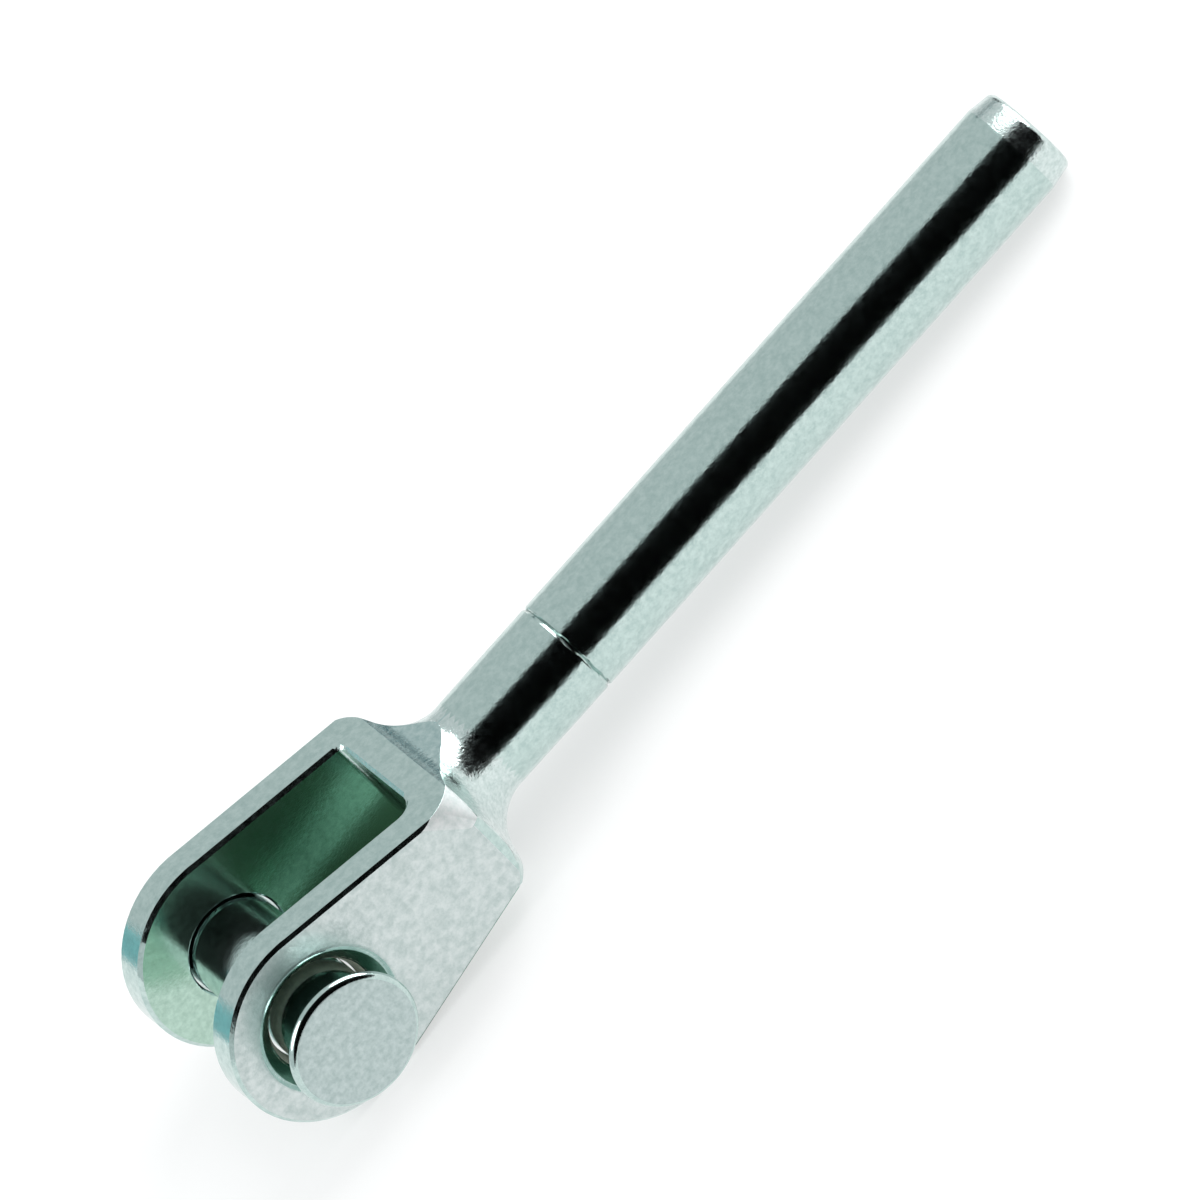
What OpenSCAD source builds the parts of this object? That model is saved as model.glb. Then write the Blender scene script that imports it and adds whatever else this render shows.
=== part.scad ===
// Swage fork terminal for wire rope: a barrel and a fork made in one piece,
// with a countersunk clevis pin across the ears and a split pin through its tail.
// The origin is the middle of the pin, halfway between the ears. +X runs along the
// barrel to the wire end, the pin lies along Y with its head towards -Y, and +Z is up.
// All sizes are in millimetres.

/* [Barrel] */
// Outer diameter of the barrel before swaging
barrel_d = 12.5; // [10:0.1:16]
// From the pin's centre to the open end of the barrel
barrel_reach = 123.5; // [100:0.5:180]
// Diameter of the wire bore
bore_d = 6.4; // [4:0.1:8]
// Depth of the wire bore, to the start of its drill point
bore_depth = 70; // [40:1:74]
// Chamfer that leads the wire into the bore
bore_lead = 0.6; // [0.2:0.1:1.2]
// Length of the slight taper at the open end
end_taper_l = 3.2; // [1:0.1:6]
// How much that taper takes off the radius
end_taper_drop = 0.4; // [0.1:0.05:1]
// Rounding of the edge at the open end
end_round = 0.8; // [0.3:0.1:1.2]
// From the open end to the score line that marks how far to swage
score_from_end = 75.8; // [74.5:0.1:80]
// Width of the score line
score_w = 0.6; // [0.3:0.1:1]
// Depth of the score line
score_depth = 0.25; // [0.1:0.05:0.4]

/* [Neck] */
// Diameter of the neck between the barrel and the fork
neck_d = 12.4; // [9:0.1:12.5]
// Length over which the neck runs out into the barrel
neck_l = 9; // [4:0.5:10]
// Radius of the hollow flare from the neck to the fork
flare_r = 6.1; // [4.5:0.1:6.5]
// Angle through which the flare turns before it runs on straight
flare_turn = 75; // [60:1:80]

/* [Fork] */
// Width across the outer faces of the two ears
fork_w = 24.8; // [23:0.1:30]
// Thickness of each ear
ear_t = 4.4; // [3.5:0.1:6]
// Radius of the round end of each ear, about the pin
ear_end_r = 12.3; // [11:0.1:16]
// Thickness of the web that joins the ears behind the slot
bridge_t = 3.8; // [2.5:0.1:6]
// From the pin's centre to the back of that web
shoulder_x = 27.1; // [26:0.1:34]
// Height of the fork at the back of the web
shoulder_h = 14.4; // [13:0.1:18]
// Rounding of the fork's shoulders, as turned
shoulder_r = 4.5; // [3:0.1:5]
// Rounding of the outer faces into the flare, in plan
corner_r = 2.5; // [1.5:0.1:3]
// Radius of the hollow behind the web, above and below
hollow_r = 9; // [7:0.1:14]
// Radius in the slot's corner at the near ear
near_corner_r = 2.5; // [1:0.1:4]
// Radius in the slot's corner at the far ear
far_corner_r = 0.8; // [0.7:0.1:4]
// Chamfer along the outer edges of the ears
outer_break = 0.4; // [0.2:0.05:0.8]
// Chamfer along the edges of the slot
inner_break = 0.45; // [0.2:0.05:0.8]

/* [Clevis pin] */
// Diameter of the pin's shank
pin_d = 11.5; // [8:0.1:12]
// Room between the shank and its holes, on the radius
pin_clearance = 0.25; // [0.1:0.05:0.5]
// Diameter of the countersunk head
head_d = 16; // [15:0.1:18]
// Rounding of the edge of the head's flat face
head_round = 0.85; // [0.3:0.05:1.2]
// Room between the head's rim and the rim of its seat, on the radius
seat_clearance = 0.45; // [0.05:0.05:0.6]
// How far the head stands out from its seat
pin_draw = 5.6; // [0:0.1:8]
// Chamfer at the pin's tail
tail_chamfer = 1; // [0.4:0.1:1.5]
// Metal left on the tail beyond the split pin's hole
tail_land = 2; // [1.5:0.1:4]
// Chamfer on the holes where they open into the slot
hole_break = 0.25; // [0.1:0.05:0.5]

/* [Split pin] */
// Diameter of the two closed legs together
split_d = 3.2; // [2:0.1:4]
// Room round the legs in their hole, on the radius
split_clearance = 0.15; // [0.05:0.05:0.4]
// Gap between the legs and the far ear
split_gap = 0.5; // [0.2:0.1:2]
// Inner radius of the eye
eye_r = 1.9; // [1.4:0.1:3]
// Gap between the eye and the pin
eye_gap = 0.4; // [0.2:0.1:2]
// Straight length of the legs past the pin, before they spread
leg_past = 0.8; // [0.3:0.1:3]
// Length of each spread end
leg_end = 3.4; // [2:0.1:6]
// Angle by which each end is spread
leg_spread = 40; // [10:1:70]
// Length of the first step of that spread
leg_bend = 1.2; // [0.6:0.1:3]
// Slit between the two legs
leg_slit = 0.12; // [0.05:0.01:0.3]

/* [Hidden] */
$fn = 96;

// How far a cut runs past the surface it opens
over = 1;
// The same for the small edge cuts
lap = 0.5;
// Room that keeps two nearly touching faces clear of each other
shy = 0.1;
// Height by which a round and a straight run cross instead of only touching
hair = 0.02;

// Barrel, bore and neck
barrel_r = barrel_d / 2;
end_r = barrel_r - end_taper_drop;
bore_r = bore_d / 2;
bore_x = barrel_reach - bore_depth;
drill_flat_r = 0.4;
drill_tip = (bore_r - drill_flat_r) / tan(59);
score_x = barrel_reach - score_from_end;
neck_r = neck_d / 2;
neck_x = shoulder_x + flare_r + 2 * shy;
neck_end_x = neck_x + neck_l;

// Ears and slot
ear_y = fork_w / 2;
gap_y = ear_y - ear_t;
slot_x = shoulder_x - bridge_t;
shoulder_z = shoulder_h / 2;
// Slope of the ear's straight edges, which run off its round end almost as tangents
foot_r = ear_end_r - hair;
edge_slope = asin(foot_r / norm([shoulder_x, shoulder_z])) - atan2(shoulder_z, shoulder_x);
foot = foot_r * [sin(edge_slope), cos(edge_slope)];
end_angle = 90 - edge_slope;
// Twice the length over which the straight edge dips inside the round end
dip_l = 2 * sqrt(pow(ear_end_r, 2) - pow(foot_r, 2));
edge_l = (shoulder_x - foot.x) / cos(edge_slope);
slot_edge_l = (slot_x - foot.x) / cos(edge_slope);
blank_r = norm([ear_y, ear_end_r]) + 2 * over;

// Turned flank of the fork, as radius and X: hollow arc, cone, round shoulder
flare_point = [neck_r + flare_r * (1 - cos(flare_turn)), neck_x - flare_r * sin(flare_turn)];
shortfall = 4;
flank_turn = flare_turn - shortfall;
rim_r = norm([ear_y, shoulder_z + shoulder_r * tan(edge_slope)]);
cone_r = rim_r - shoulder_r * (1 - cos(flank_turn));
cone_x = flare_point.y - (cone_r - flare_point.x) / tan(flank_turn);
// The cone's line runs on into the hollow, which it meets a little short of tangent
flank_foot = flare_point + flare_r * sin(shortfall) * [-sin(flank_turn), cos(flank_turn)];
rim_x = cone_x - shoulder_r * sin(flank_turn);

// Corner of the outer faces in plan, set so that it runs out through the flank
corner_y = ear_y - corner_r;
flank_x = corner_y < flare_point.x
    ? neck_x - sqrt(pow(flare_r, 2) - pow(neck_r + flare_r - corner_y, 2))
    : flare_point.y - (corner_y - flare_point.x) / tan(flank_turn);
corner_x = flank_x + shy - corner_r;

// Hollow arc in the side view, from the back of the web down to the neck
top_drop = shoulder_z - neck_r - shy;
top_run = sqrt(2 * hollow_r * top_drop - pow(top_drop, 2));
// Where the side view opens out, behind that arc
open_x = shoulder_x + top_run / 2;
open_z = shoulder_z - top_run / 2 * tan(edge_slope);

// Pin, its holes and its seat
pin_r = pin_d / 2;
hole_r = pin_r + pin_clearance;
head_r = head_d / 2;
seat_r = head_r + seat_clearance;
rim_y = seat_clearance - ear_y - pin_draw;
split_r = split_d / 2;
split_hole_r = split_r + split_clearance;
split_y = ear_y + split_gap + split_r;
tail_y = split_y + split_hole_r + tail_land;

// Split pin
eye_x = pin_r + eye_gap + eye_r + split_r;
leg_x = -pin_r - leg_past;
leg_start_x = eye_x - eye_r - split_r / 2;
leg_lap = leg_slit / 2;

// Turns what is drawn along Z to lie along X
module along_x() {
    rotate([0, 90, 0]) children();
}

// Turns what is drawn along Z to lie along Y
module along_y() {
    rotate([-90, 0, 0]) children();
}

// Keeps what is drawn and adds its mirror image
module both(plane) {
    children();
    mirror(plane) children();
}

// The whole piece as turned, in radius and X, before the fork's faces are milled
module turned_profile() {
    // outline, left large at the fork end and cut back by the hollow flare
    difference() {
        polygon([
            [0, -blank_r], [blank_r, -blank_r], [blank_r, rim_x + rim_r - blank_r], [rim_r, rim_x],
            [cone_r, cone_x], flank_foot, [flank_foot.x, neck_x], [neck_r, neck_x],
            [barrel_r, neck_end_x], [barrel_r, score_x - score_w / 2],
            [barrel_r - score_depth, score_x], [barrel_r, score_x + score_w / 2],
            [barrel_r, barrel_reach - end_taper_l], [end_r, barrel_reach - end_round],
            [end_r - end_round, barrel_reach], [0, barrel_reach]
        ]);
        translate([neck_r + flare_r - hair, neck_x]) circle(r = flare_r);
    }
    // round shoulder
    translate([rim_r - shoulder_r, rim_x]) circle(r = shoulder_r + hair / 2, $fn = 64);
    // rounded open end
    translate([end_r - end_round, barrel_reach - end_round]) circle(r = end_round, $fn = 32);
}

// Side view of the fork in X and Z: round end and straight edges, wide open past the web
module side_profile() {
    circle(r = ear_end_r);
    polygon([
        [0, 0], [foot.x, -foot.y], [open_x, -open_z], [open_x, open_z], foot
    ]);
    translate([open_x - lap, -blank_r]) square([barrel_reach, 2 * blank_r]);
}

// Hollow fall from the back of the web to the neck, above and below
module top_cuts() {
    for (side = [-1, 1]) translate([shoulder_x + top_run, 0, side * (neck_r + shy + hollow_r)])
        along_y() cylinder(h = 4 * blank_r, r = hollow_r, center = true, $fn = 360);
}

// Plan of the fork in X and Y: flat outer faces with round corners
module plan_profile() {
    translate([-blank_r, -ear_y]) square([blank_r + corner_x, fork_w]);
    translate([0, -corner_y]) square([2 * barrel_reach, 2 * corner_y]);
    for (side = [-1, 1]) translate([corner_x, side * corner_y]) circle(r = corner_r, $fn = 64);
}

// Half of the slot's plan at the near ear, open past the ear's end
module half_slot(corner) {
    translate([-blank_r, -gap_y]) square([blank_r + slot_x - corner, gap_y + over]);
    translate([0, corner - gap_y]) square([slot_x, gap_y - corner + over]);
    translate([slot_x - corner, corner - gap_y]) circle(r = corner, $fn = 64);
}

// The slot as a solid that cuts through the fork's whole height
module slot_block() {
    linear_extrude(height = 4 * blank_r, center = true) half_slot(near_corner_r);
    mirror([0, 1, 0]) linear_extrude(height = 4 * blank_r, center = true) half_slot(far_corner_r);
}

// Chamfer on an ear's round end, for a face at Y = 0 with the ear on its +Y side
module end_cut(size) {
    along_y() rotate([0, 0, end_angle]) rotate_extrude(angle = 360 - 2 * end_angle) polygon([
        [ear_end_r - size - lap, -lap], [ear_end_r + lap, -lap], [ear_end_r + lap, size + lap]
    ]);
}

// Moves what is drawn onto the upper straight edge: X along it, Z out of the metal
module on_edge() {
    translate([foot.x, 0, foot.y]) rotate([0, edge_slope, 0]) children();
}

// Chamfer on an ear's upper straight edge, for a face as in end_cut
module straight_cut(size, length) {
    translate([-dip_l, 0, 0]) along_x() linear_extrude(height = length + dip_l) polygon([
        [-lap, -lap], [size + lap, -lap], [-lap, size + lap]
    ]);
}

// Chamfers round the outer face of the near ear
module outer_cuts() {
    translate([0, -ear_y, 0]) {
        end_cut(outer_break);
        both([0, 0, 1]) on_edge() straight_cut(outer_break, edge_l);
    }
}

// Chamfers on the near ear's edges in the slot, and on half of the web's edges
module slot_cuts(corner) {
    translate([0, -gap_y, 0]) mirror([0, 1, 0]) end_cut(inner_break);
    both([0, 0, 1]) on_edge() {
        translate([0, -gap_y, 0]) mirror([0, 1, 0])
            straight_cut(inner_break, slot_edge_l - corner);
        translate([slot_edge_l - corner, corner - gap_y, -inner_break - lap])
            cylinder(h = inner_break + 2 * lap, r1 = corner - lap,
                r2 = corner + inner_break + lap, $fn = 64);
        translate([slot_edge_l, over, 0]) rotate([90, 0, 0])
            linear_extrude(height = gap_y - corner + over) polygon([
                [-lap, -inner_break - lap], [inner_break + lap, lap], [-lap, lap]
            ]);
    }
}

// Holes for the pin through both ears, with the seat for its head on the near side
module pin_holes() {
    along_y() cylinder(h = fork_w + 2 * over, r = hole_r, center = true);
    translate([0, -ear_y - over, 0]) along_y()
        cylinder(h = seat_r - hole_r + 2 * over, r1 = seat_r + over, r2 = hole_r - over);
    both([0, 1, 0]) translate([0, gap_y + hole_break + lap, 0]) rotate([90, 0, 0])
        cylinder(h = hole_break + 2 * lap, r1 = hole_r - lap, r2 = hole_r + hole_break + lap);
    translate([0, ear_y - outer_break - lap, 0]) along_y()
        cylinder(h = outer_break + 2 * lap, r1 = hole_r - lap, r2 = hole_r + outer_break + lap);
}

// Blind bore for the wire, with its lead-in and drill point
module wire_bore() {
    along_x() rotate_extrude() polygon([
        [0, bore_x - drill_tip], [drill_flat_r, bore_x - drill_tip], [bore_r, bore_x],
        [bore_r, barrel_reach - bore_lead],
        [bore_r + bore_lead + over, barrel_reach + over], [0, barrel_reach + over]
    ]);
}

// Turned blank with the fork's outer faces milled
module fork_blank() {
    difference() {
        intersection() {
            rotate([90, 0, 0]) along_x() rotate_extrude() turned_profile();
            rotate([90, 0, 0]) linear_extrude(height = 4 * blank_r, center = true) side_profile();
            linear_extrude(height = 4 * blank_r, center = true) plan_profile();
        }
        top_cuts();
    }
}

// The blank with its slot
module fork_slotted() {
    difference() {
        fork_blank();
        slot_block();
    }
}

// The slotted blank with its edges broken, outside first
module fork_edged() {
    difference() {
        difference() {
            fork_slotted();
            both([0, 1, 0]) outer_cuts();
        }
        slot_cuts(near_corner_r);
        mirror([0, 1, 0]) slot_cuts(far_corner_r);
    }
}

// Barrel and fork in one piece, drilled for the pin and the wire
module fork_body() {
    color("#c3cfcc") difference() {
        difference() {
            fork_edged();
            wire_bore();
        }
        pin_holes();
    }
}

// Clevis pin, drawn part way out of its seat
module clevis_pin() {
    color("#cdd6d3") difference() {
        along_y() rotate_extrude() {
            polygon([
                [0, rim_y - head_round], [head_r - head_round, rim_y - head_round], [head_r, rim_y],
                [pin_r, rim_y + head_r - pin_r], [pin_r, tail_y - tail_chamfer],
                [pin_r - tail_chamfer, tail_y], [0, tail_y]
            ]);
            intersection() {
                translate([head_r - head_round, rim_y]) circle(r = head_round, $fn = 48);
                translate([head_r - head_round, rim_y - over - head_round])
                    square([head_round + over, head_round + over]);
            }
        }
        translate([0, split_y, 0]) along_x() cylinder(h = head_d, r = split_hole_r, center = true);
    }
}

// Half-round section of the split pin's wire, with its flat at a given radius
module half_round(flat_at, side) {
    intersection() {
        translate([flat_at, 0]) circle(r = split_r, $fn = 48);
        translate([side > 0 ? flat_at : flat_at - 2 * split_r, -2 * split_r])
            square([2 * split_r, 4 * split_r]);
    }
}

// Length of half-round wire from the origin along -X, flat side down
module half_rod(length) {
    translate([leg_lap, 0, 0]) rotate([0, -90, 0]) linear_extrude(height = length + leg_lap)
        half_round(0, 1);
}

// Upper leg of the split pin: straight through the pin, then spread in two steps
module split_leg() {
    translate([leg_start_x, split_y, leg_slit / 2]) half_rod(leg_start_x - leg_x);
    translate([leg_x, split_y, leg_slit / 2]) rotate([0, leg_spread / 2, 0]) {
        half_rod(leg_bend);
        translate([-leg_bend, 0, 0]) rotate([0, leg_spread / 2, 0]) half_rod(leg_end);
    }
}

// Split pin through the tail, its eye towards the barrel
module split_pin() {
    color("#b9c2c0") {
        translate([eye_x, split_y, 0]) along_y() rotate_extrude() half_round(eye_r, 1);
        both([0, 0, 1]) split_leg();
    }
}

fork_body();
clevis_pin();
split_pin();
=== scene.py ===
"""Studio picture of a polished stainless swage fork terminal with its clevis pin and split pin."""

from __future__ import annotations

import logging
import math
from dataclasses import dataclass
from enum import Enum

import bmesh
import bpy
from mathutils import Matrix, Vector


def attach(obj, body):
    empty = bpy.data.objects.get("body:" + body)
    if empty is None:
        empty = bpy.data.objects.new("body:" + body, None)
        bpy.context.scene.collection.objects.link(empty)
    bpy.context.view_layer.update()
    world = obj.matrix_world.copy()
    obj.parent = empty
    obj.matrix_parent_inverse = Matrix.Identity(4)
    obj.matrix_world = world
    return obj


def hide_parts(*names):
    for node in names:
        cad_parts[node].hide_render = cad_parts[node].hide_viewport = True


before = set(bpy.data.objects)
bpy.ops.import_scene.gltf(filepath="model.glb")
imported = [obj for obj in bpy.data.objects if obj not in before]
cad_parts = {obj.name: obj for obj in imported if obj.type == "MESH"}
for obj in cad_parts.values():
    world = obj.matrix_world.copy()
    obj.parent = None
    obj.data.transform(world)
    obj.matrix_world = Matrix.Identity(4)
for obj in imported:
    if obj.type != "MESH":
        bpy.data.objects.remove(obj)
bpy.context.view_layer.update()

LOG = logging.getLogger("swage_fork")
# One millimetre, in metres.
MM = 0.001
# The picture's width and height that the camera is worked out for.
PIXELS = 1200
# Points that lie closer than this are one point, in metres: on a solid's copy, and after a cut.
MERGE = 1e-7
MERGE_AFTER_CUT = 2e-6
# Faces that turn by less than this, in degrees, are joined into one.
FLAT = 0.05
# The part of a noise's range that is spread over a finish's contrast.
NOISE_LOW = 0.35
NOISE_HIGH = 0.65
# The sockets of a colour mix, by number because other kinds of mix have sockets of the same names.
MIX_FACTOR, MIX_FIRST, MIX_SECOND, MIX_RESULT = 0, 6, 7, 2


def linear(code: str) -> tuple[float, float, float, float]:
    """Turns an sRGB hex colour into linear values.

    Args:
        code: Six hex digits, red first.

    Returns:
        Linear red, green and blue with an alpha of 1.
    """
    shares = [int(code[i:i + 2], 16) / 255 for i in (0, 2, 4)]
    red, green, blue = [s / 12.92 if s <= 0.04045 else ((s + 0.055) / 1.055) ** 2.4 for s in shares]
    return red, green, blue, 1.0


def add_node(tree: bpy.types.NodeTree, kind: str, settings: dict | None = None,
             links: dict | None = None) -> bpy.types.Node:
    """Adds one shader node, sets it and links its inputs.

    Args:
        tree: The node tree that takes the node.
        kind: Blender's type name of the node.
        settings: Values by the name of a property, or by the name or number of an input.
        links: Output sockets by the name or number of the input that they feed.

    Returns:
        The new node.
    """
    node = tree.nodes.new(kind)
    for key, value in (settings or {}).items():
        if isinstance(key, str) and hasattr(node, key):
            setattr(node, key, value)
        else:
            node.inputs[key].default_value = value
    for key, socket in (links or {}).items():
        tree.links.new(socket, node.inputs[key])
    return node


class Lay(Enum):
    """Which way the marks of the last machining run, as a share of the pattern's scale on X, Y and Z."""

    ROUND_X = (1.0, 0.12, 0.12)
    ROUND_Y = (0.12, 1.0, 0.12)
    ALONG_X = (0.1, 1.0, 1.0)
    NONE = (1.0, 1.0, 1.0)


@dataclass(frozen=True)
class SteelFinish:
    """A stainless steel surface: its colour, gloss and the marks that polishing left."""

    name: str
    tint: str
    shade: str
    roughness: float
    rough_spread: float
    lay: Lay
    cloud_mm: float
    grit_mm: float
    grit_relief_mm: float
    lay_mm: float
    lay_relief_mm: float

    def material(self) -> bpy.types.Material:
        """Builds the finish as a node material on Object coordinates.

        Returns:
            The material.
        """
        made = bpy.data.materials.new(self.name)
        made.use_nodes = True
        tree = made.node_tree
        tree.nodes.clear()
        place = add_node(tree, "ShaderNodeTexCoord").outputs["Object"]
        # Soft clouds: hand polishing leaves patches that are a little duller and darker.
        clouds = add_node(tree, "ShaderNodeTexNoise",
                          {"Scale": 1 / (self.cloud_mm * MM), "Detail": 5.0, "Roughness": 0.65},
                          {"Vector": place})
        # Grit of the last polishing wheel, drawn coarser than it is so that it shows.
        grit = add_node(tree, "ShaderNodeTexNoise",
                        {"Scale": 1 / (self.grit_mm * MM), "Detail": 2.0, "Roughness": 0.6},
                        {"Vector": place})
        # Marks that follow the tool, long one way and fine across.
        run = add_node(tree, "ShaderNodeMapping", {"Scale": self.lay.value}, {"Vector": place})
        marks = add_node(tree, "ShaderNodeTexNoise",
                         {"Scale": 1 / (self.lay_mm * MM), "Detail": 3.0, "Roughness": 0.6},
                         {"Vector": run.outputs["Vector"]})
        patch = add_node(tree, "ShaderNodeMapRange", {"From Min": NOISE_LOW, "From Max": NOISE_HIGH},
                         {"Value": clouds.outputs["Fac"]})
        colour = add_node(tree, "ShaderNodeMix",
                          {"data_type": "RGBA", MIX_FIRST: linear(self.shade),
                           MIX_SECOND: linear(self.tint)},
                          {MIX_FACTOR: patch.outputs["Result"]})
        gloss = add_node(tree, "ShaderNodeMapRange",
                         {"From Min": NOISE_LOW, "From Max": NOISE_HIGH,
                          "To Min": self.roughness + self.rough_spread,
                          "To Max": self.roughness - self.rough_spread},
                         {"Value": clouds.outputs["Fac"]})
        grain = add_node(tree, "ShaderNodeBump",
                         {"Strength": 1.0, "Distance": self.grit_relief_mm * MM},
                         {"Height": grit.outputs["Fac"]})
        ridges = add_node(tree, "ShaderNodeBump",
                          {"Strength": 1.0, "Distance": self.lay_relief_mm * MM},
                          {"Height": marks.outputs["Fac"], "Normal": grain.outputs["Normal"]})
        steel = add_node(tree, "ShaderNodeBsdfPrincipled", {"Metallic": 1.0},
                         {"Base Color": colour.outputs[MIX_RESULT], "Roughness": gloss.outputs["Result"],
                          "Normal": ridges.outputs["Normal"]})
        add_node(tree, "ShaderNodeOutputMaterial", {}, {"Surface": steel.outputs["BSDF"]})
        return made


# Turned and polished 316 stainless: mirror-like, faintly green, with a wavy grain in its reflections.
TURNED = SteelFinish("turned_polished_stainless", tint="CBDEDA", shade="B6CCC8", roughness=0.15,
                     rough_spread=0.04, lay=Lay.ROUND_X, cloud_mm=0.9, grit_mm=0.45,
                     grit_relief_mm=0.016, lay_mm=0.35, lay_relief_mm=0.004)
# Milled faces brushed over by hand: soft satin that blurs what stands before it.
MILLED = SteelFinish("milled_satin_stainless", tint="DAE3E2", shade="C3D1CF", roughness=0.36,
                     rough_spread=0.06, lay=Lay.NONE, cloud_mm=0.8, grit_mm=0.45,
                     grit_relief_mm=0.024, lay_mm=0.4, lay_relief_mm=0.006)
# Slot walls: milled bright, and greener for the light that passes to and fro between them.
SLOTTED = SteelFinish("slot_milled_stainless", tint="C1DED0", shade="ADCBBC", roughness=0.17,
                      rough_spread=0.03, lay=Lay.NONE, cloud_mm=0.9, grit_mm=0.5,
                      grit_relief_mm=0.008, lay_mm=0.4, lay_relief_mm=0.004)
# The pin's seat, painted dark: painted shade of the pin's head over it.
SEAT_SHADE = SteelFinish("seat_painted_shade_stainless", tint="6C8F80", shade="56776A", roughness=0.2,
                    rough_spread=0.04, lay=Lay.NONE, cloud_mm=0.9, grit_mm=0.5,
                    grit_relief_mm=0.008, lay_mm=0.4, lay_relief_mm=0.004)
# The bore's rounded rim: pale rough satin, a painted highlight in the dark of the seat.
RIM_HIGHLIGHT = SteelFinish("rim_painted_highlight_stainless", tint="FFFCF2", shade="F6F3E8", roughness=0.8,
                     rough_spread=0.04, lay=Lay.NONE, cloud_mm=0.9, grit_mm=0.5,
                     grit_relief_mm=0.008, lay_mm=0.4, lay_relief_mm=0.004)
# The hollow flare and the barrel's end, blended by hand: reflections break up into specks and streaks. Its
# tint is lighter than the turned steel's: painted light.
BLENDED = SteelFinish("hand_blended_stainless", tint="DFEBE9", shade="C6D7D4", roughness=0.19,
                      rough_spread=0.06, lay=Lay.NONE, cloud_mm=0.6, grit_mm=0.32,
                      grit_relief_mm=0.032, lay_mm=0.5, lay_relief_mm=0.008)
# The near shoulder: the softest satin, painted brighter than the ears as painted light.
SHOULDER_LIGHT = SteelFinish("shoulder_painted_light_stainless", tint="F8FCFC", shade="E2EBEA", roughness=0.52,
                       rough_spread=0.04, lay=Lay.NONE, cloud_mm=0.8, grit_mm=0.45,
                       grit_relief_mm=0.01, lay_mm=0.4, lay_relief_mm=0.004)
# The hollow behind the web, ground along with a belt: dark reflections draw out into streaks.
HOLLOWED = SteelFinish("belt_ground_stainless", tint="C8DCDA", shade="A9C3C2", roughness=0.14,
                       rough_spread=0.05, lay=Lay.ALONG_X, cloud_mm=0.9, grit_mm=0.45,
                       grit_relief_mm=0.012, lay_mm=0.45, lay_relief_mm=0.03)
# Ground and polished pin stock: the same colour as the turned steel, with a calmer grain.
GROUND = SteelFinish("ground_stainless_pin", tint="CBDEDA", shade="B6CCC8", roughness=0.14,
                     rough_spread=0.03, lay=Lay.ROUND_Y, cloud_mm=0.9, grit_mm=0.45,
                     grit_relief_mm=0.010, lay_mm=0.35, lay_relief_mm=0.004)
# The pin's ends, faced and brushed over: satin, like the ears.
FACED = SteelFinish("faced_satin_stainless", tint="C6D4D3", shade="AEC0BE", roughness=0.34,
                    rough_spread=0.06, lay=Lay.NONE, cloud_mm=0.8, grit_mm=0.45,
                    grit_relief_mm=0.022, lay_mm=0.4, lay_relief_mm=0.006)
# Cold drawn half-round wire, left as drawn: slightly duller.
DRAWN = SteelFinish("drawn_stainless_wire", tint="C2CFCA", shade="B0BFB9", roughness=0.24,
                    rough_spread=0.05, lay=Lay.ALONG_X, cloud_mm=0.8, grit_mm=0.4,
                    grit_relief_mm=0.008, lay_mm=0.3, lay_relief_mm=0.004)


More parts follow.
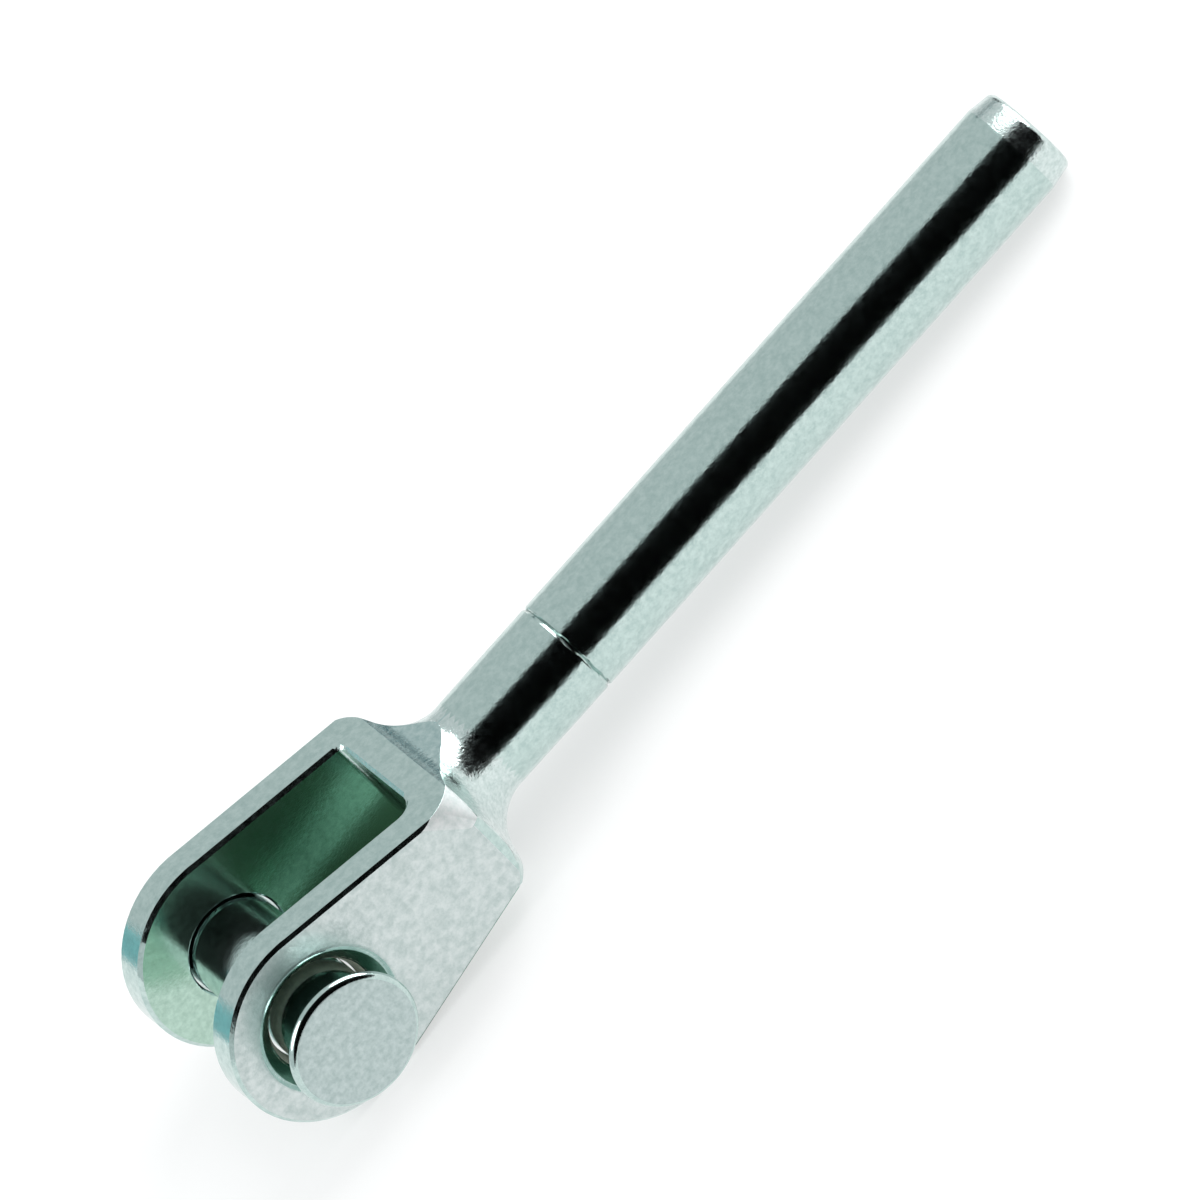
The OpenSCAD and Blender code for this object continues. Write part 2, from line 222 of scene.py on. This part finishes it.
@dataclass
class SteelPiece:
    """One solid of the frame, redrawn with its edges rounded as polishing leaves them.

    Lengths are in millimetres and angles in degrees. rows_at lists the places along X where long faces
    are cut through, so that their shading stays even.
    """

    node: str
    body: str
    slot: str
    finishes: tuple[SteelFinish, ...]
    edge_mm: float = 0.15
    edge_from: float = 18.0
    edge_steps: int = 3
    soft_steps: int = 6
    rows_at: tuple[float, ...] = ()

    def redraw(self) -> bmesh.types.BMesh:
        """Copies the solid's surface, closes it and rounds its edges.

        Returns:
            The surface, in metres.
        """
        surface = bmesh.new()
        surface.from_mesh(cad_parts[self.node].data)
        bmesh.ops.remove_doubles(surface, verts=surface.verts, dist=MERGE)
        self.rework(surface)
        bmesh.ops.dissolve_limit(surface, angle_limit=math.radians(FLAT), verts=surface.verts,
                                 edges=surface.edges)
        for edges, radius in self.soft_edges(surface):
            self.round_edges(surface, edges, radius, self.soft_steps)
        self.round_edges(surface, self.sharp_edges(surface), self.edge_mm, self.edge_steps)
        for row in self.rows_at:
            bmesh.ops.bisect_plane(surface, geom=[*surface.verts, *surface.edges, *surface.faces],
                                   dist=MERGE, plane_co=(row * MM, 0, 0), plane_no=(1, 0, 0))
        return surface

    def sharp_edges(self, surface: bmesh.types.BMesh) -> list[bmesh.types.BMEdge]:
        """Lists the edges at which the surface turns sharply."""
        return [e for e in surface.edges
                if e.is_manifold and e.calc_face_angle(0.0) > math.radians(self.edge_from)]

    def round_edges(self, surface: bmesh.types.BMesh, edges: list[bmesh.types.BMEdge], radius: float,
                    steps: int) -> None:
        """Rounds some edges.

        Args:
            surface: The surface, in metres.
            edges: Its edges to round.
            radius: How far the rounding reaches from an edge, in millimetres.
            steps: How many faces go round.
        """
        bmesh.ops.bevel(surface, geom=edges, offset=radius * MM, offset_type="OFFSET",
                        affect="EDGES", segments=steps, profile=0.5, material=-1, clamp_overlap=True)

    def soft_edges(self, surface: bmesh.types.BMesh) -> list[tuple[list[bmesh.types.BMEdge], float]]:
        """Gives the groups of edges that are rounder than the rest, each with its size in millimetres."""
        return []

    def rework(self, surface: bmesh.types.BMesh) -> None:
        """Makes the piece's own changes to the closed surface, before its edges are rounded."""

    def finish_of(self, face: bmesh.types.BMFace) -> SteelFinish:
        """Says which of the piece's finishes a face has."""
        return self.finishes[0]

    def build(self) -> bpy.types.Object:
        """Makes the piece, dresses it and puts it in the solid's place.

        Returns:
            The piece's object.
        """
        surface = self.redraw()
        for face in surface.faces:
            face.smooth = True
            face.material_index = self.finishes.index(self.finish_of(face))
        data = bpy.data.meshes.new(self.node + "_polished")
        surface.to_mesh(data)
        surface.free()
        for finish in self.finishes:
            data.materials.append(finish.material())
        made = bpy.data.objects.new(self.node + "_polished", data)
        bpy.context.scene.collection.objects.link(made)
        even = made.modifiers.new("even_shading", "WEIGHTED_NORMAL")
        even.mode = "FACE_AREA_WITH_ANGLE"
        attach(made, self.body)
        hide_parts(self.node)
        return made


@dataclass
class ForkBody(SteelPiece):
    """The barrel and its fork, machined from one bar.

    Lengths are in millimetres. Shares of 1 compare a face's normal with an axis.
    """

    node: str = "fork_body"
    body: str = "fork"
    slot: str = "polished_stainless"
    finishes: tuple[SteelFinish, ...] = (TURNED, MILLED, SLOTTED, SEAT_SHADE, BLENDED, SHOULDER_LIGHT,
                                         HOLLOWED, RIM_HIGHLIGHT)
    rows_at: tuple[float, ...] = (48.5, 119.7)
    # How far a point may lie from the place where it is looked for.
    within: float = 0.02
    # The ears and the slot, and where the flats end.
    ear_y: float = 12.4
    ear_skin: float = 0.1
    slot_y: float = 8.6
    milled_to_x: float = 27.5
    flat_from: float = 0.97
    # The pin's seat in the near ear, with its rim, its slope and the rim of its bore.
    seat_within: float = 10.0
    seat_skin: float = 0.05
    seat_edge_mm: float = 0.6
    seat_slope: tuple[float, float] = (0.6, 0.8)
    bore_within: float = 6.8
    bore_edge_mm: float = 1.2
    bore_rim_y: float = 11.0
    bore_rim_from: float = 0.05
    # The near upper shoulder: a cone that is widest at the top, and the rim above it.
    corner_at: tuple[float, float] = (28.1, -12.42)
    corner_r: float = 7.0
    corner_z: float = 7.6
    corner_edge_mm: float = 0.5
    corner_within: float = 0.06
    corner_ear_from: float = 0.985
    rim_past_x: float = 0.3
    rim_above_z: float = 6.8
    rim_level_from: float = 0.9
    upright_to: float = 0.75
    # The stone that rounds the shoulder: larger than the cone, so that it cuts right through.
    stone_grown: float = 1.25
    stone_out: float = 1.9
    stone_tip: float = 0.02
    stone_steps: int = 40
    # The hand-blended flare, and the hollow in it that faces straight up or down.
    blended_x: tuple[float, float] = (27.05, 33.5)
    hollow_to: float = 0.02
    # The barrel's end: taper, rounding and face.
    taper_x: float = 120.3
    barrel_r: float = 6.25
    end_x: float = 122.7
    end_r: float = 5.85
    end_round: float = 0.8
    end_steps: int = 8
    face_r: float = 3.75

    def redraw_end(self, surface: bmesh.types.BMesh) -> None:
        """Draws the taper, the rounding and the face of the barrel's end again, in even rows.

        Args:
            surface: The closed surface, in metres.
        """
        from_x = (self.taper_x - self.within) * MM
        to_x = (self.taper_x + self.within) * MM
        old = [f for f in surface.faces
               if all(v.co.x > from_x and v.co.yz.length > self.face_r * MM for v in f.verts)]
        bmesh.ops.delete(surface, geom=old, context="FACES")
        ring = [e for e in surface.edges if e.is_boundary and e.verts[0].co.x < to_x]
        place = Vector((self.taper_x, self.barrel_r))
        for step in range(self.end_steps + 1):
            turn = math.radians(90 * step / self.end_steps)
            row = Vector((self.end_x + self.end_round * math.sin(turn),
                          self.end_r - self.end_round * (1 - math.cos(turn))))
            grown = bmesh.ops.extrude_edge_only(surface, edges=ring)["geom"]
            verts = [v for v in grown if isinstance(v, bmesh.types.BMVert)]
            bmesh.ops.translate(surface, vec=((row.x - place.x) * MM, 0, 0), verts=verts)
            bmesh.ops.scale(surface, vec=(1, row.y / place.y, row.y / place.y), verts=verts)
            outer = set(verts)
            ring = [e for e in surface.edges if e.is_boundary and outer.issuperset(e.verts)]
            place = row
        bmesh.ops.bridge_loops(surface, edges=[e for e in surface.edges if e.is_boundary])
        bmesh.ops.recalc_face_normals(surface, faces=surface.faces)
        LOG.info("barrel end: %d faces drawn again", len(old))

    def corner_tool(self) -> bmesh.types.BMesh:
        """Shapes the stone that rounds the near upper shoulder, most at the top and not at all below.

        Returns:
            The stone's surface, in metres: a quarter ring that narrows down to a point.
        """
        radius = self.stone_grown * self.corner_r
        top = self.stone_grown * self.corner_z
        point = Vector((*self.corner_at, 0))
        middle = point + Vector((-radius, radius, top))
        tool = bmesh.new()
        ends = [tool.verts.new(middle + Vector((0, -reach * radius, 0)))
                for reach in (1.0, self.stone_out)]
        bmesh.ops.spin(tool, geom=[*ends, tool.edges.new(ends)], cent=middle, axis=(0, 0, 1),
                       angle=math.radians(90), steps=self.stone_steps, use_merge=False,
                       use_duplicate=False)
        lowered = bmesh.ops.extrude_face_region(tool, geom=tool.faces[:])["geom"]
        lowered = [v for v in lowered if isinstance(v, bmesh.types.BMVert)]
        bmesh.ops.translate(tool, vec=(0, 0, -(1 - self.stone_tip) * top), verts=lowered)
        bmesh.ops.scale(tool, vec=(self.stone_tip, self.stone_tip, 1),
                        space=Matrix.Translation(-point), verts=lowered)
        bmesh.ops.scale(tool, vec=(MM, MM, MM), verts=tool.verts)
        bmesh.ops.recalc_face_normals(tool, faces=tool.faces)
        return tool

    def rework(self, surface: bmesh.types.BMesh) -> None:
        """Evens the barrel's end, and rounds off the near upper shoulder, where the polishing belt ran.

        Args:
            surface: The closed surface, in metres.
        """
        self.redraw_end(surface)
        made = []
        for name, shape in (("fork_blank", surface), ("corner_tool", self.corner_tool())):
            data = bpy.data.meshes.new(name)
            shape.to_mesh(data)
            made.append(bpy.data.objects.new(name, data))
            bpy.context.scene.collection.objects.link(made[-1])
        blank, tool = made
        cut = blank.modifiers.new("round_shoulder", "BOOLEAN")
        cut.operation = "DIFFERENCE"
        cut.solver = "EXACT"
        cut.object = tool
        bpy.context.view_layer.update()
        done = blank.evaluated_get(bpy.context.evaluated_depsgraph_get()).to_mesh()
        surface.clear()
        surface.from_mesh(done)
        for spent in made:
            bpy.data.objects.remove(spent, do_unlink=True)
        bmesh.ops.remove_doubles(surface, verts=surface.verts, dist=MERGE_AFTER_CUT)
        LOG.info("near upper shoulder rounded: %d faces", len(surface.faces))

    def on_corner_rim(self, edge: bmesh.types.BMEdge, middle: Vector) -> bool:
        """Tells whether an edge is on the top rim of the rounded shoulder.

        Args:
            edge: A sharp edge.
            middle: Its middle, in millimetres.

        Returns:
            True where an upright face meets a level one round the shoulder.
        """
        rise = sorted(abs(f.normal.z) for f in edge.link_faces)
        corner_x, corner_y = self.corner_at
        return (middle.x > corner_x - self.corner_r + self.rim_past_x
                and corner_y < middle.y < corner_y + self.corner_r
                and middle.z > self.rim_above_z
                and rise[0] < self.upright_to and rise[1] > self.rim_level_from)

    def soft_edges(self, surface: bmesh.types.BMesh) -> list[tuple[list[bmesh.types.BMEdge], float]]:
        """Picks the two rims of the pin's seat, and the top rim of the rounded shoulder.

        Args:
            surface: The surface, in metres, with its edges still sharp.

        Returns:
            Three groups of edges, each with the size of its rounding in millimetres.
        """
        seat, bore, shoulder = [], [], []
        for edge in self.sharp_edges(surface):
            ends = [v.co / MM for v in edge.verts]
            away = max(math.hypot(e.x, e.z) for e in ends)
            if away < self.seat_within and all(abs(e.y + self.ear_y) < self.within for e in ends):
                seat.append(edge)
            elif away < self.bore_within and all(e.y < -self.slot_y for e in ends):
                bore.append(edge)
            elif self.on_corner_rim(edge, (ends[0] + ends[1]) / 2):
                shoulder.append(edge)
        LOG.info("soft edges: %d at the seat, %d at its bore, %d at the shoulder",
                 len(seat), len(bore), len(shoulder))
        return [(seat, self.seat_edge_mm), (bore, self.bore_edge_mm), (shoulder, self.corner_edge_mm)]

    def on_corner(self, face: bmesh.types.BMFace, middle: Vector) -> bool:
        """Tells whether a face is on the cone of the rounded shoulder.

        Args:
            face: A face of the finished surface.
            middle: Its middle, in millimetres.

        Returns:
            True on the cone.
        """
        radius = self.corner_r * middle.z / self.corner_z
        across = Vector((middle.x - self.corner_at[0] + radius, middle.y - self.corner_at[1] - radius))
        return (abs(face.normal.z) < self.upright_to
                and abs(across.length - radius) < self.corner_within and across.x > 0 > across.y)

    def finish_of(self, face: bmesh.types.BMFace) -> SteelFinish:
        """Says which finish a face has, from where it lies and which way it looks.

        Args:
            face: A face of the finished surface.

        Returns:
            One of the fork's finishes.
        """
        middle = face.calc_center_median() / MM
        if self.on_corner(face, middle):
            # The cone, where it turns away from the ear's face, gets the painted light.
            return SHOULDER_LIGHT if face.normal.y > -self.corner_ear_from else MILLED
        in_ear = self.seat_skin - self.ear_y < middle.y < -self.slot_y
        if in_ear and math.hypot(middle.x, middle.z) < self.seat_within:
            # In the seat: painted shade on its slope, a painted highlight on the bore's rim.
            if self.seat_slope[0] < -face.normal.y < self.seat_slope[1]:
                return SEAT_SHADE
            on_rim = face.normal.y < -self.bore_rim_from and middle.y > -self.bore_rim_y
            return RIM_HIGHLIGHT if on_rim else TURNED
        at_end = middle.x > self.taper_x and middle.yz.length > self.face_r
        if at_end or self.blended_x[0] < middle.x < self.blended_x[1]:
            return HOLLOWED if abs(face.normal.y) < self.hollow_to < abs(face.normal.z) else BLENDED
        if abs(face.normal.y) < self.flat_from or middle.x > self.milled_to_x:
            return TURNED
        return MILLED if abs(middle.y) > self.ear_y - self.ear_skin else SLOTTED


@dataclass
class ClevisPin(SteelPiece):
    """The loose pin through both ears."""

    node: str = "clevis_pin"
    body: str = "pin"
    slot: str = "pin_stainless"
    finishes: tuple[SteelFinish, ...] = (GROUND, FACED)
    flat_from: float = 0.97

    def finish_of(self, face: bmesh.types.BMFace) -> SteelFinish:
        """Gives the two end faces the satin finish."""
        return FACED if abs(face.normal.y) > self.flat_from else GROUND


@dataclass
class SplitPin(SteelPiece):
    """The opened split pin through the clevis pin's tail."""

    node: str = "split_pin"
    body: str = "pin"
    slot: str = "wire_stainless"
    finishes: tuple[SteelFinish, ...] = (DRAWN,)
    edge_mm: float = 0.1


@dataclass(frozen=True)
class ShadeSheet:
    """A sheet of painted shade on the table under the slot, seen only in the polish: its colour, and its
    reach on X and Y in millimetres.
    """

    name: str
    colour: str
    from_x: float
    to_x: float
    from_y: float
    to_y: float


@dataclass(frozen=True)
class Flag:
    """A dark soft-edged flag that only shows in the polish.

    Seen from the fork, and in degrees: turn is its direction from X towards Y, rise its height above
    level and half its half width.
    """

    name: str
    colour: str
    turn: float
    rise: float
    half: float


@dataclass(frozen=True)
class Lamp:
    """A soft panel lamp: its place and size in millimetres, and its light where the tent's white is 1."""

    name: str
    at: tuple[float, float, float]
    wide: float
    high: float
    light: float


@dataclass
class Studio:
    """A white table under a soft tent: grey above and behind, bright at both sides, dark in front.

    Lengths are in millimetres. The table touches the ears' round ends and the barrel's end.
    """

    ear_drop: float = 12.3
    end_drop: float = 5.85
    end_x: float = 123.2
    floor_half: float = 1500.0
    floor_colour: str = "F8F9F9"
    floor_lift: float = 0.6
    floor_lift_mirrored: float = 0.85
    white: str = "FFFFFF"
    tent_light: float = 0.72
    tent_colour: str = "F4F9FA"
    card_colour: str = "030303"
    card_y: float = -62.0
    card_bottom: float = -3.0
    card_top: float = 150.0
    card_from_x: float = -90.0
    card_to_x: float = 230.0
    # Sheets of painted shade on the table under the slot, seen only in the polish, and their height above
    # it.
    shade_sheet_lift: float = 0.2
    sheets: tuple[ShadeSheet, ...] = (
        ShadeSheet("slot_shade_sheet_far", "4E6B55", from_x=4, to_x=25, from_y=-4.5, to_y=9),
        ShadeSheet("slot_shade_sheet_near", "AEDCC8", from_x=4, to_x=25, from_y=-13, to_y=-4.5))
    flags_round: tuple[float, float, float] = (25, 0, 5)
    flags_away: float = 400.0
    flag_solid: float = 0.45
    flags: tuple[Flag, ...] = (
        Flag("right_flag", "0A2022", turn=50, rise=14, half=13),
        Flag("high_flag", "1F4F56", turn=61, rise=26, half=5),
        Flag("left_flag", "7FB0B4", turn=132, rise=7, half=15))
    lamps_face: tuple[float, float, float] = (45, 0, 0)
    lamps: tuple[Lamp, ...] = (
        Lamp("right_panel", at=(520, 50, 360), wide=600, high=560, light=4.2),
        Lamp("left_panel", at=(-430, 20, 380), wide=400, high=400, light=3.6))

    def floor_turn(self) -> Matrix:
        """Gives the table's place and tilt."""
        tilt = math.atan2(self.ear_drop - self.end_drop, self.end_x)
        return Matrix.Translation((0, 0, -self.ear_drop * MM)) @ Matrix.Rotation(-tilt, 4, "Y")

    def panel(self, name: str, half_x: float, half_y: float, place: Matrix,
              material: bpy.types.Material) -> bpy.types.Object:
        """Makes a flat panel of the stage.

        Args:
            name: The panel's name.
            half_x: Half its width, in millimetres.
            half_y: Half its height, in millimetres.
            place: Where it stands.
            material: What it is made of.

        Returns:
            The panel's object.
        """
        mesh = bmesh.new()
        bmesh.ops.create_grid(mesh, x_segments=1, y_segments=1, size=1.0)
        bmesh.ops.scale(mesh, vec=(half_x * MM, half_y * MM, 1), verts=mesh.verts)
        bmesh.ops.transform(mesh, matrix=place, verts=mesh.verts)
        data = bpy.data.meshes.new(name)
        mesh.to_mesh(data)
        mesh.free()
        data.materials.append(material)
        made = bpy.data.objects.new(name, data)
        bpy.context.scene.collection.objects.link(made)
        return made

    def paper(self) -> bpy.types.Material:
        """Makes the table's white paper, which looks white and keeps a soft shadow.

        Returns:
            The material.
        """
        made = bpy.data.materials.new("table_paper")
        made.use_nodes = True
        tree = made.node_tree
        tree.nodes.clear()
        sheet = add_node(tree, "ShaderNodeBsdfDiffuse", {"Color": linear(self.floor_colour)})
        white = add_node(tree, "ShaderNodeEmission", {"Color": linear(self.white), "Strength": 1.0})
        path = add_node(tree, "ShaderNodeLightPath")
        mirrored = add_node(tree, "ShaderNodeMath", {"operation": "MAXIMUM"},
                            {0: path.outputs["Is Glossy Ray"], 1: path.outputs["Is Transmission Ray"]})
        direct = add_node(tree, "ShaderNodeMath", {"operation": "MULTIPLY", 1: self.floor_lift},
                          {0: path.outputs["Is Camera Ray"]})
        seen = add_node(tree, "ShaderNodeMath",
                        {"operation": "MULTIPLY_ADD", 1: self.floor_lift_mirrored},
                        {0: mirrored.outputs[0], 2: direct.outputs[0]})
        both = add_node(tree, "ShaderNodeMixShader", {},
                        {0: seen.outputs[0], 1: sheet.outputs[0], 2: white.outputs[0]})
        add_node(tree, "ShaderNodeOutputMaterial", {}, {"Surface": both.outputs[0]})
        return made

    def felt(self, name: str, colour: str, middle: Vector | None = None,
             reach: float = 0.0) -> bpy.types.Material:
        """Makes the felt of a card or a flag, or the colour of a sheet of painted shade.

        Args:
            name: The material's name.
            colour: Its colour, in sRGB hex.
            middle: For a felt that thins out towards its rim, its middle in metres.
            reach: How far from its middle it has thinned out to nothing, in metres.

        Returns:
            The material.
        """
        made = bpy.data.materials.new(name)
        made.use_nodes = True
        tree = made.node_tree
        tree.nodes.clear()
        cloth = add_node(tree, "ShaderNodeBsdfDiffuse", {"Color": linear(colour)})
        if middle is not None:
            place = add_node(tree, "ShaderNodeTexCoord").outputs["Object"]
            away = add_node(tree, "ShaderNodeVectorMath", {"operation": "DISTANCE", 1: middle}, {0: place})
            thin = add_node(tree, "ShaderNodeMapRange",
                            {"interpolation_type": "SMOOTHSTEP", "From Min": self.flag_solid * reach,
                             "From Max": reach},
                            {"Value": away.outputs["Value"]})
            gauze = add_node(tree, "ShaderNodeBsdfTransparent")
            cloth = add_node(tree, "ShaderNodeMixShader", {},
                             {0: thin.outputs["Result"], 1: cloth.outputs[0], 2: gauze.outputs[0]})
        add_node(tree, "ShaderNodeOutputMaterial", {}, {"Surface": cloth.outputs[0]})
        return made

    def tent(self) -> None:
        """Sets the even light of the tent, white where the camera sees it."""
        world = bpy.data.worlds.new("tent")
        bpy.context.scene.world = world
        world.use_nodes = True
        tree = world.node_tree
        tree.nodes.clear()
        path = add_node(tree, "ShaderNodeLightPath")
        cloth = add_node(tree, "ShaderNodeBackground",
                         {"Color": linear(self.tent_colour), "Strength": self.tent_light})
        white = add_node(tree, "ShaderNodeBackground", {"Color": linear(self.white), "Strength": 1.0})
        both = add_node(tree, "ShaderNodeMixShader", {},
                        {0: path.outputs["Is Camera Ray"], 1: cloth.outputs[0], 2: white.outputs[0]})
        add_node(tree, "ShaderNodeOutputWorld", {}, {"Surface": both.outputs[0]})

    def stand_card(self) -> bpy.types.Object:
        """Stands the dark card in front of the part, which draws the dark band along the barrel.

        Returns:
            The card's object.
        """
        half_x = (self.card_to_x - self.card_from_x) / 2
        half_z = (self.card_top - self.card_bottom) / 2
        middle = Vector((self.card_from_x + half_x, self.card_y, self.card_bottom + half_z)) * MM
        place = Matrix.Translation(middle) @ Matrix.Rotation(math.radians(90), 4, "X")
        return self.panel("dark_card", half_x, half_z, place, self.felt("black_felt", self.card_colour))

    def lay_shade_sheet(self, sheet: ShadeSheet) -> bpy.types.Object:
        """Lays a sheet of painted shade on the table under the slot.

        Args:
            sheet: The sheet.

        Returns:
            The sheet's object.
        """
        half_x = (sheet.to_x - sheet.from_x) / 2
        half_y = (sheet.to_y - sheet.from_y) / 2
        middle = Vector((sheet.from_x + half_x, sheet.from_y + half_y, self.shade_sheet_lift)) * MM
        return self.panel(sheet.name, half_x, half_y, self.floor_turn() @ Matrix.Translation(middle),
                          self.felt(sheet.name + "_felt", sheet.colour))

    def hang_flag(self, flag: Flag) -> bpy.types.Object:
        """Hangs a flag that faces the fork.

        Args:
            flag: The flag.

        Returns:
            The flag's object.
        """
        turn, rise = math.radians(flag.turn), math.radians(flag.rise)
        towards = Vector((math.cos(turn) * math.cos(rise), math.sin(turn) * math.cos(rise), math.sin(rise)))
        middle = (Vector(self.flags_round) + towards * self.flags_away) * MM
        place = Matrix.Translation(middle) @ towards.to_track_quat("-Z", "Y").to_matrix().to_4x4()
        half = self.flags_away * math.tan(math.radians(flag.half))
        return self.panel(flag.name, half, half, place,
                          self.felt(flag.name + "_felt", flag.colour, middle, half * MM))

    def hang_lamp(self, lamp: Lamp) -> bpy.types.Object:
        """Hangs a lamp that faces the part.

        Args:
            lamp: The lamp.

        Returns:
            The lamp's object.
        """
        data = bpy.data.lights.new(lamp.name, "AREA")
        data.shape = "ELLIPSE"
        data.size = lamp.wide * MM
        data.size_y = lamp.high * MM
        data.energy = lamp.light * math.pi * (math.pi / 4 * lamp.wide * lamp.high * MM * MM)
        made = bpy.data.objects.new(lamp.name, data)
        bpy.context.scene.collection.objects.link(made)
        at = Vector(lamp.at)
        made.location = at * MM
        made.rotation_euler = (Vector(self.lamps_face) - at).to_track_quat("-Z", "Z").to_euler()
        made.visible_camera = False
        return made

    def build(self) -> None:
        """Sets up the table, the card, the painted shade under the slot, the flags, the tent and the lamps.
        """
        self.panel("table", self.floor_half, self.floor_half, self.floor_turn(), self.paper())
        mirrored = [self.stand_card()]
        mirrored += [self.lay_shade_sheet(sheet) for sheet in self.sheets]
        mirrored += [self.hang_flag(flag) for flag in self.flags]
        for panel in mirrored:
            panel.visible_camera = False
            panel.visible_diffuse = False
            panel.visible_shadow = False
        self.tent()
        for lamp in self.lamps:
            self.hang_lamp(lamp)


@dataclass
class PhotoCamera:
    """A long lens at the photograph's viewing angle.

    Angles are in degrees and lengths in millimetres. The point aim falls on the pixel aim_pixel.
    """

    yaw: float = 3.6
    elevation: float = 39.0
    roll: float = 45.95
    lens: float = 1200.0
    sensor: float = 36.0
    pixels_per_mm: float = 9.209
    aim: tuple[float, float, float] = (50.0, 0.0, 0.0)
    aim_pixel: tuple[float, float] = (580.7, 631.0)
    clip_m: tuple[float, float] = (0.01, 20.0)

    def build(self) -> bpy.types.Object:
        """Makes the camera and gives it to the scene.

        Returns:
            The camera's object.
        """
        yaw, rise, roll = (math.radians(a) for a in (self.yaw, self.elevation, self.roll))
        ahead = Vector((math.sin(yaw) * math.cos(rise), math.cos(yaw) * math.cos(rise), -math.sin(rise)))
        level = Vector((math.cos(yaw), -math.sin(yaw), 0))
        above = level.cross(ahead)
        right = level * math.cos(roll) - above * math.sin(roll)
        up = level * math.sin(roll) + above * math.cos(roll)
        middle = Vector(self.aim)
        middle += right * (PIXELS / 2 - self.aim_pixel[0]) / self.pixels_per_mm
        middle -= up * (PIXELS / 2 - self.aim_pixel[1]) / self.pixels_per_mm
        away = PIXELS / self.pixels_per_mm * self.lens / self.sensor
        data = bpy.data.cameras.new("long_lens")
        data.lens = self.lens
        data.sensor_width = self.sensor
        data.clip_start, data.clip_end = self.clip_m
        camera = bpy.data.objects.new("camera", data)
        bpy.context.scene.collection.objects.link(camera)
        turn = Matrix((right, up, -ahead)).transposed().to_4x4()
        camera.matrix_world = Matrix.Translation((middle - ahead * away) * MM) @ turn
        bpy.context.scene.camera = camera
        return camera


def main() -> None:
    """Builds every piece and the studio round them."""
    logging.basicConfig(level=logging.INFO, format="%(name)s: %(message)s")
    for piece in (ForkBody(), ClevisPin(), SplitPin()):
        made = piece.build()
        LOG.info("%s: %d faces, %s", made.name, len(made.data.polygons),
                 ", ".join(f.name for f in piece.finishes))
    Studio().build()
    PhotoCamera().build()
    bpy.context.scene.view_settings.view_transform = "Standard"


if __name__ == "__main__":
    main()
